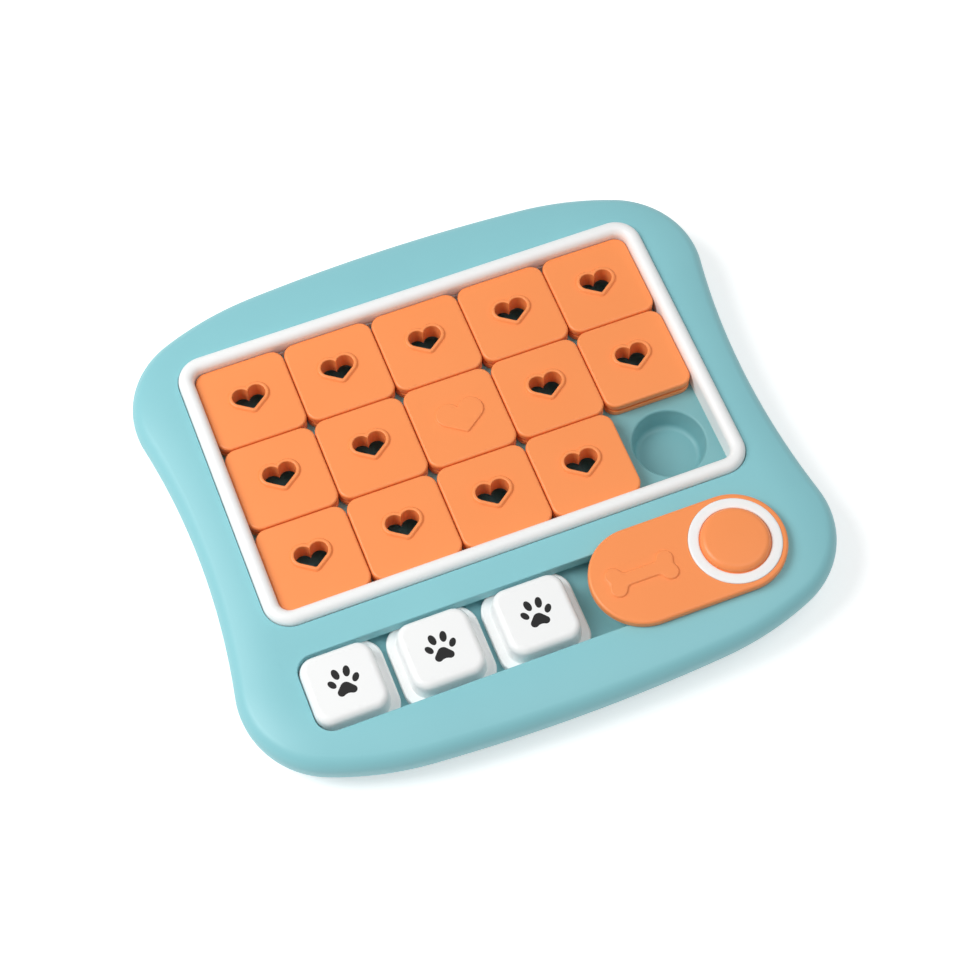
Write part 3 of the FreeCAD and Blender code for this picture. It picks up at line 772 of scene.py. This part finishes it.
def tile_sides(x, y):
    levels = [(tile_outline(x, y, out), TILE_BOTTOM + drop) for out, drop in softened(TILE_FOOT_ROUND, 2)]
    for depth, height in ((0, GROOVE_LOW - GROOVE_CHAMFER), (GROOVE_CHAMFER, GROOVE_LOW),
                          (GROOVE_DEPTH, GROOVE_LOW), (GROOVE_DEPTH, GROOVE_HIGH),
                          (GROOVE_CHAMFER, GROOVE_HIGH), (0, GROOVE_HIGH + GROOVE_CHAMFER)):
        levels.append((tile_outline(x, y, 0, depth), height))
    top_edge = reversed(softened(TILE_ROUND, 6))
    return levels + [(tile_outline(x, y, out), TILE_TOP - drop) for out, drop in top_edge]


def sliding_tile(row, column):
    x, y = cell(row, column)
    mesh = bmesh.new()
    bottom, top = wall(mesh, tile_sides(x, y))
    under = TILE_TOP - SKIN
    pocket, ceiling = wall(mesh, [(tile_outline(x, y, HOLLOW_INSET), TILE_BOTTOM),
                                  (tile_outline(x, y, HOLLOW_INSET), under)])
    cap(mesh, bottom, [pocket])
    if (row, column) == (2, 3):
        cap(mesh, ceiling)
        centre = (x + BIG_HEART_X, y + BIG_HEART_Y)
        base, crest = wall(mesh, [(heart(grow, *centre, BIG_HEART), TILE_TOP + lift)
                                  for grow, lift in HEART_RISE])
        cap(mesh, top, [base])
        cap(mesh, crest)
        name = "plain_tile"
    else:
        levels = [(heart(grow, x, y), TILE_TOP + LIP_HEIGHT * lift) for grow, lift in LIP_RISE]
        levels.append((heart(0, x, y), TILE_BOTTOM))
        base, hole_foot = wall(mesh, levels)
        cap(mesh, top, [base])
        tube, tube_foot = wall(mesh, [(heart(HEART_TUBE, x, y), under),
                                      (heart(HEART_TUBE, x, y), TILE_BOTTOM)])
        cap(mesh, ceiling, [tube])
        cap(mesh, tube_foot, [hole_foot])
        name = "heart_tile"
    half = TILE / 2
    out = half + TONGUE_LENGTH
    run = half - TILE_CORNER
    tongue(mesh, x - out, x - half + TONGUE_ROOT, y - run, y + run)
    tongue(mesh, x - run, x + run, y + half - TONGUE_ROOT, y + out)
    node = "tile_r%dc%d" % (row, column)
    make_piece("%s_r%dc%d" % (name, row, column), mesh, orange_abs, node, [node])


for row in range(1, ROWS + 1):
    for column in range(1, COLUMNS + 1):
        if (row, column) != (ROWS, COLUMNS):
            sliding_tile(row, column)
print("tiles made:", sum("tile_r" in name for name in ALL_PIECES))

# %% [markdown]
# ## Paw keys
# Each key is a wide skirt, which the channel's lip holds down, with a tall cap on it. The cap has
# slightly tapered sides, softly rounded top edges and a flat top. The paw print is a film of ink,
# drawn as a very thin plate, so it stays sharp from any distance.

# %% Keys
KEY_X = (-104.4, -54.9, -5.4)
KEY_WIDTH = 38.6
KEY_DEPTH = 37.6
KEY_CORNER = 8.6
SKIRT_WIDTH = 47.0
SKIRT_DEPTH = 46.0
SKIRT_CORNER = 11.0
KEY_TOP = 36.1
KEY_BOTTOM = 19.4
SKIRT_TOP = 24.6
KEY_ROUND = 3.6
KEY_DRAFT = 1.0
SKIRT_ROUND = 1.2
SKIRT_FOOT_ROUND = 0.4
KEY_SKIN = 3.2
POCKET_INSET = 3.0
INK = 0.05


def key_outline(x, inset):
    return centred(KEY_WIDTH - 2 * inset, KEY_DEPTH - 2 * inset, KEY_CORNER - inset, x, CHANNEL_Y, 10)


def skirt_outline(x, inset):
    return centred(SKIRT_WIDTH - 2 * inset, SKIRT_DEPTH - 2 * inset, SKIRT_CORNER - inset, x, CHANNEL_Y, 10)


def paw_pad():
    # A round top, two round lower lobes and a hollow between them, each arc meeting the next smoothly
    points = arc((0, -3.4), 2.9, 41.7, 138.3, 16)
    points += arc((-2.9, -5.3), 2.0, 138.3, 298.9, 16)
    points += arc((0, -10.55), 4.0, 118.9, 61.1, 8)
    points += arc((2.9, -5.3), 2.0, -118.9, 41.7, 16)
    return closed(points)


def paw_toe(x, y, half_width, half_height, tilt):
    turn = math.radians(tilt)
    points = []
    for px, py in circle(1.0, steps=32):
        along = px * half_width
        up = py * half_height
        points.append((x + along * math.cos(turn) - up * math.sin(turn),
                       y + along * math.sin(turn) + up * math.cos(turn)))
    return points


PAW = [paw_pad(), paw_toe(2.8, 4.6, 1.75, 2.9, -12), paw_toe(-2.8, 4.6, 1.75, 2.9, 12),
       paw_toe(6.0, 0.1, 1.6, 2.45, -35), paw_toe(-6.0, 0.1, 1.6, 2.45, 35)]


def paw_key(number, x):
    body = "key_%d" % number
    mesh = bmesh.new()
    levels = [(skirt_outline(x, SKIRT_FOOT_ROUND), KEY_BOTTOM),
              (skirt_outline(x, 0), KEY_BOTTOM + SKIRT_FOOT_ROUND)]
    levels += [(skirt_outline(x, out), SKIRT_TOP - drop) for out, drop in reversed(softened(SKIRT_ROUND, 4))]
    levels += [(key_outline(x, -out), SKIRT_TOP + rise) for out, rise in ((0.5, 0), (0.15, 0.15), (0, 0.5))]
    side_top = KEY_TOP - KEY_ROUND
    draft = KEY_DRAFT * (side_top - SKIRT_TOP) / (KEY_TOP - SKIRT_TOP)
    top_edge = reversed(softened(KEY_ROUND, 10))
    levels += [(key_outline(x, draft + out), KEY_TOP - drop) for out, drop in top_edge]
    foot, top = wall(mesh, levels)
    cap(mesh, top)
    pocket, ceiling = wall(mesh, [(key_outline(x, POCKET_INSET), KEY_BOTTOM),
                                  (key_outline(x, POCKET_INSET), KEY_TOP - KEY_SKIN)])
    cap(mesh, ceiling)
    cap(mesh, foot, [pocket])
    make_piece("paw_key_%d" % number, mesh, white_abs, body, [body])
    print_mesh = bmesh.new()
    for shape in PAW:
        moved = [(px + x, py + CHANNEL_Y) for px, py in shape]
        closed_wall(print_mesh, [(moved, KEY_TOP - INK), (moved, KEY_TOP + INK)])
    make_piece("paw_print_%d" % number, print_mesh, paw_ink, body)


for number, x in enumerate(KEY_X, 1):
    paw_key(number, x)
print("keys at x =", KEY_X)

# %% [markdown]
# ## Swivel lid
# The lid is a long rounded plate that turns on the post in the deck. A bone is raised on its free
# end. A white ring lies in a groove round the pivot, and an orange cap closes the well over the
# screw. The bone is drawn like the heart: an outline of arcs that grows evenly.

# %% Lid
LID_RADIUS = 26.3
LID_FAR = 50.0
LID_TOP = 36.9
LID_ROUND = 1.5
RING_INNER = 18.0
RING_OUTER = 23.4
RING_DEPTH = 1.4
RING_PROUD = 0.7
RING_GAP = 0.12
WELL = 15.0
BORE_RADIUS = 7.06
BONE_LOBE = 4.4
BONE_X = 13.6
BONE_Y = 3.8
BONE_SHAFT = 3.3
BONE_RISE = ((0.5, 0.0), (0.35, 0.12), (0.15, 0.5), (-0.05, 0.82), (-0.25, 0.95), (-0.5, 1.0))
LID_FOOT_ROUND = 0.4


def lid_outline(inset):
    points = arc((LID_FAR, CHANNEL_Y), LID_RADIUS - inset, 90, 270, 40)
    return closed(points + arc((PIVOT_X, CHANNEL_Y), LID_RADIUS - inset, -90, 90, 40))


def bone(grow):
    lobe = BONE_LOBE + grow
    cleft = math.degrees(math.asin(BONE_Y / lobe))
    neck = math.degrees(math.asin((BONE_SHAFT + grow - BONE_Y) / lobe))
    upper = arc((BONE_X, BONE_Y), lobe, -cleft, 180 - neck, 16)
    half = [(px, -py) for px, py in reversed(upper)] + upper
    other = [(-px, py) for px, py in reversed(half)]
    return [(px + LID_FAR, py + CHANNEL_Y) for px, py in eased(closed(half + other), 140, 8)]


def turned(sections, steps=96):
    # Sweeps pairs of radius and height round the pivot
    return [(circle(radius, PIVOT_X, CHANNEL_Y, steps), height) for radius, height in sections]


lid = bmesh.new()
foot_edge = [(lid_outline(LID_FOOT_ROUND), LID_BOTTOM), (lid_outline(0), LID_BOTTOM + LID_FOOT_ROUND)]
top_edge = [(lid_outline(out), LID_TOP - drop) for out, drop in reversed(softened(LID_ROUND, 6))]
rim, top = wall(lid, foot_edge + top_edge)
bone_base, bone_crest = wall(lid, [(bone(grow), LID_TOP + lift) for grow, lift in BONE_RISE])
cap(lid, bone_crest)
groove_outer, groove_inner = wall(lid, turned([(RING_OUTER + RING_GAP, LID_TOP),
                                               (RING_OUTER + RING_GAP, LID_TOP - RING_DEPTH),
                                               (RING_INNER - RING_GAP, LID_TOP - RING_DEPTH),
                                               (RING_INNER - RING_GAP, LID_TOP)]))
cap(lid, top, [bone_base, groove_outer])
well_top, web_edge = wall(lid, turned([(WELL, LID_TOP), (WELL, WEB_TOP)], 48))
cap(lid, groove_inner, [well_top])
bore_top, bore_foot = wall(lid, turned([(BORE_RADIUS, WEB_TOP), (BORE_RADIUS, LID_BOTTOM)], 48))
cap(lid, web_edge, [bore_top])
cap(lid, rim, [bore_foot])
make_piece("swivel_lid_plate", lid, orange_abs, "lid", ["swivel_lid"])
print("lid reaches from", LID_FAR - LID_RADIUS, "to", PIVOT_X + LID_RADIUS)

# %% [markdown]
# The ring and the cap are turned shapes, so their sections are swept round the pivot as circles. The
# ring's top is a flattened arch. The cap is a low dome with a round edge, and its plug sits in the
# lid's well over the screw.

# %% Ring and cap
CAP_RADIUS = 17.5
CAP_HEIGHT = 3.8
CAP_ROUND = 3.2
CAP_CROWN = 0.35
CAP_STEP = 4.0
CAP_WALL = 1.6
ARCH_SIDE = 0.6
ARCH_TOP = 0.8

inlay = bmesh.new()
half_width = (RING_OUTER - RING_INNER) / 2
middle = (RING_OUTER + RING_INNER) / 2
sections = [(RING_OUTER, LID_TOP - RING_DEPTH)]
for k in range(13):
    turn = math.radians(180 * k / 12)
    sections.append((middle + half_width * math.copysign(abs(math.cos(turn)) ** ARCH_SIDE, math.cos(turn)),
                     LID_TOP + RING_PROUD * math.sin(turn) ** ARCH_TOP))
sections.append((RING_INNER, LID_TOP - RING_DEPTH))
first, last = wall(inlay, turned(sections))
bridge(inlay, last, first)
make_piece("lid_ring_inlay", inlay, white_abs, "lid", ["lid_ring"])

button = bmesh.new()
plug_radius = WELL - RING_GAP
plug_foot = LID_TOP - RING_DEPTH
cap_top = LID_TOP + CAP_HEIGHT
side = [(CAP_RADIUS - out, cap_top - CAP_CROWN - drop) for out, drop in reversed(softened(CAP_ROUND, 8))]
dome = [(CAP_RADIUS - CAP_ROUND - CAP_STEP * k, cap_top - CAP_CROWN * (1 - k / 3) ** 2) for k in (1, 2, 3)]
plug = [(plug_radius - CAP_WALL, plug_foot), (plug_radius, plug_foot), (plug_radius, LID_TOP),
        (CAP_RADIUS, LID_TOP)]
foot, top = wall(button, turned(plug + side + dome))
cap(button, top)
ceiling, room_top = wall(button, turned([(plug_radius - CAP_WALL, plug_foot),
                                         (plug_radius - CAP_WALL, cap_top - CAP_CROWN - CAP_WALL)]))
cap(button, room_top)
bridge(button, foot, ceiling)
make_piece("pivot_cap_button", button, orange_abs, "lid", ["pivot_cap"])
print("cap top at", round(cap_top, 1))

# %% [markdown]
# ## Hidden pieces
# The key track below the channel, the pivot screw and its washer keep the frame's own solids, whose
# plain walls are right. They only need the finishes made above, given to their material slots.

# %% Finishes on carried solids
CARRIED = {"key_track": teal_abs, "pivot_washer": zinc_steel, "pivot_screw": zinc_steel}
for node, material in CARRIED.items():
    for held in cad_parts[node].material_slots:
        held.material = material
print("carried solids:", sorted(CARRIED))

# %% [markdown]
# ## Floor, backdrop and light
# The photograph has a white ground and almost no shadow. The floor is pale, and it looks fully
# white to the camera and in reflections, through a little glow that only those rays see. The toy
# itself is lit by a pale sky and two lamps. A soft lamp stands on the left, so that the left edges
# shine and the right walls fall into shade as in the photograph, and a wide lamp high on the right
# lifts the flat tops.

# %% Floor, world and lamps
FLOOR_GLOW = 0.45
FLOOR_HALF = 3.0
SKY_LIGHT = 0.42

floor_material, tree = new_material("pale_studio_floor")
rays = add_node(tree, "ShaderNodeLightPath")
seen = add_node(tree, "ShaderNodeMath", {0: rays.outputs["Is Camera Ray"], 1: rays.outputs["Is Glossy Ray"]},
                operation="MAXIMUM")
seen = add_node(tree, "ShaderNodeMath", {0: seen.outputs[0], 1: rays.outputs["Is Transmission Ray"]},
                operation="MAXIMUM")
amount = add_node(tree, "ShaderNodeMath", {0: seen.outputs[0], 1: FLOOR_GLOW}, operation="MULTIPLY")
glow = add_node(tree, "ShaderNodeEmission", {"Strength": amount.outputs[0]})
paper = add_node(tree, "ShaderNodeBsdfDiffuse", {"Color": linear("f4f4f4")})
both = add_node(tree, "ShaderNodeAddShader")
tree.links.new(paper.outputs[0], both.inputs[0])
tree.links.new(glow.outputs[0], both.inputs[1])
add_node(tree, "ShaderNodeOutputMaterial", {"Surface": both.outputs[0]})

sheet = bmesh.new()
corners = [sheet.verts.new((x * FLOOR_HALF, y * FLOOR_HALF, 0.0))
           for x, y in ((-1, -1), (1, -1), (1, 1), (-1, 1))]
sheet.faces.new(corners)
floor_data = bpy.data.meshes.new("studio_floor")
sheet.to_mesh(floor_data)
sheet.free()
floor_data.materials.append(floor_material)
floor = bpy.data.objects.new("studio_floor", floor_data)
bpy.context.scene.collection.objects.link(floor)

world = bpy.data.worlds.new("studio_world")
bpy.context.scene.world = world
world.use_nodes = True
world.node_tree.nodes.clear()
tree = world.node_tree
rays = add_node(tree, "ShaderNodeLightPath")
seen = add_node(tree, "ShaderNodeMath", {0: rays.outputs["Is Camera Ray"], 1: rays.outputs["Is Glossy Ray"]},
                operation="MAXIMUM")
strength = add_node(tree, "ShaderNodeMapRange", {
    "Value": seen.outputs[0], "To Min": SKY_LIGHT, "To Max": 1.0})
sky = add_node(tree, "ShaderNodeBackground", {"Strength": strength.outputs["Result"]})
add_node(tree, "ShaderNodeOutputWorld", {"Surface": sky.outputs[0]})


def soft_lamp(name, azimuth, elevation, distance, size, watts):
    lamp = bpy.data.lights.new(name, "AREA")
    lamp.shape = "DISK"
    lamp.size = size
    lamp.energy = watts
    holder = bpy.data.objects.new(name, lamp)
    bpy.context.scene.collection.objects.link(holder)
    turn = math.radians(azimuth)
    rise = math.radians(elevation)
    away = Vector((math.sin(turn) * math.cos(rise), -math.cos(turn) * math.cos(rise), math.sin(rise)))
    holder.location = away * distance
    holder.rotation_euler = (-away).to_track_quat("-Z", "Y").to_euler()


soft_lamp("key_lamp_left", -105, 50, 1.6, 0.9, 16.5)
soft_lamp("top_lamp", 60, 70, 2.2, 1.4, 8.5)
print("lamps:", len(bpy.data.lights))

# %% [markdown]
# ## Pieces made
# The box of the finished toy differs a little from the box of the frame, where the outline follows
# the photograph. The last line prints how many pieces were made.

# %% Pieces made
print("pieces made:", len(ALL_PIECES))
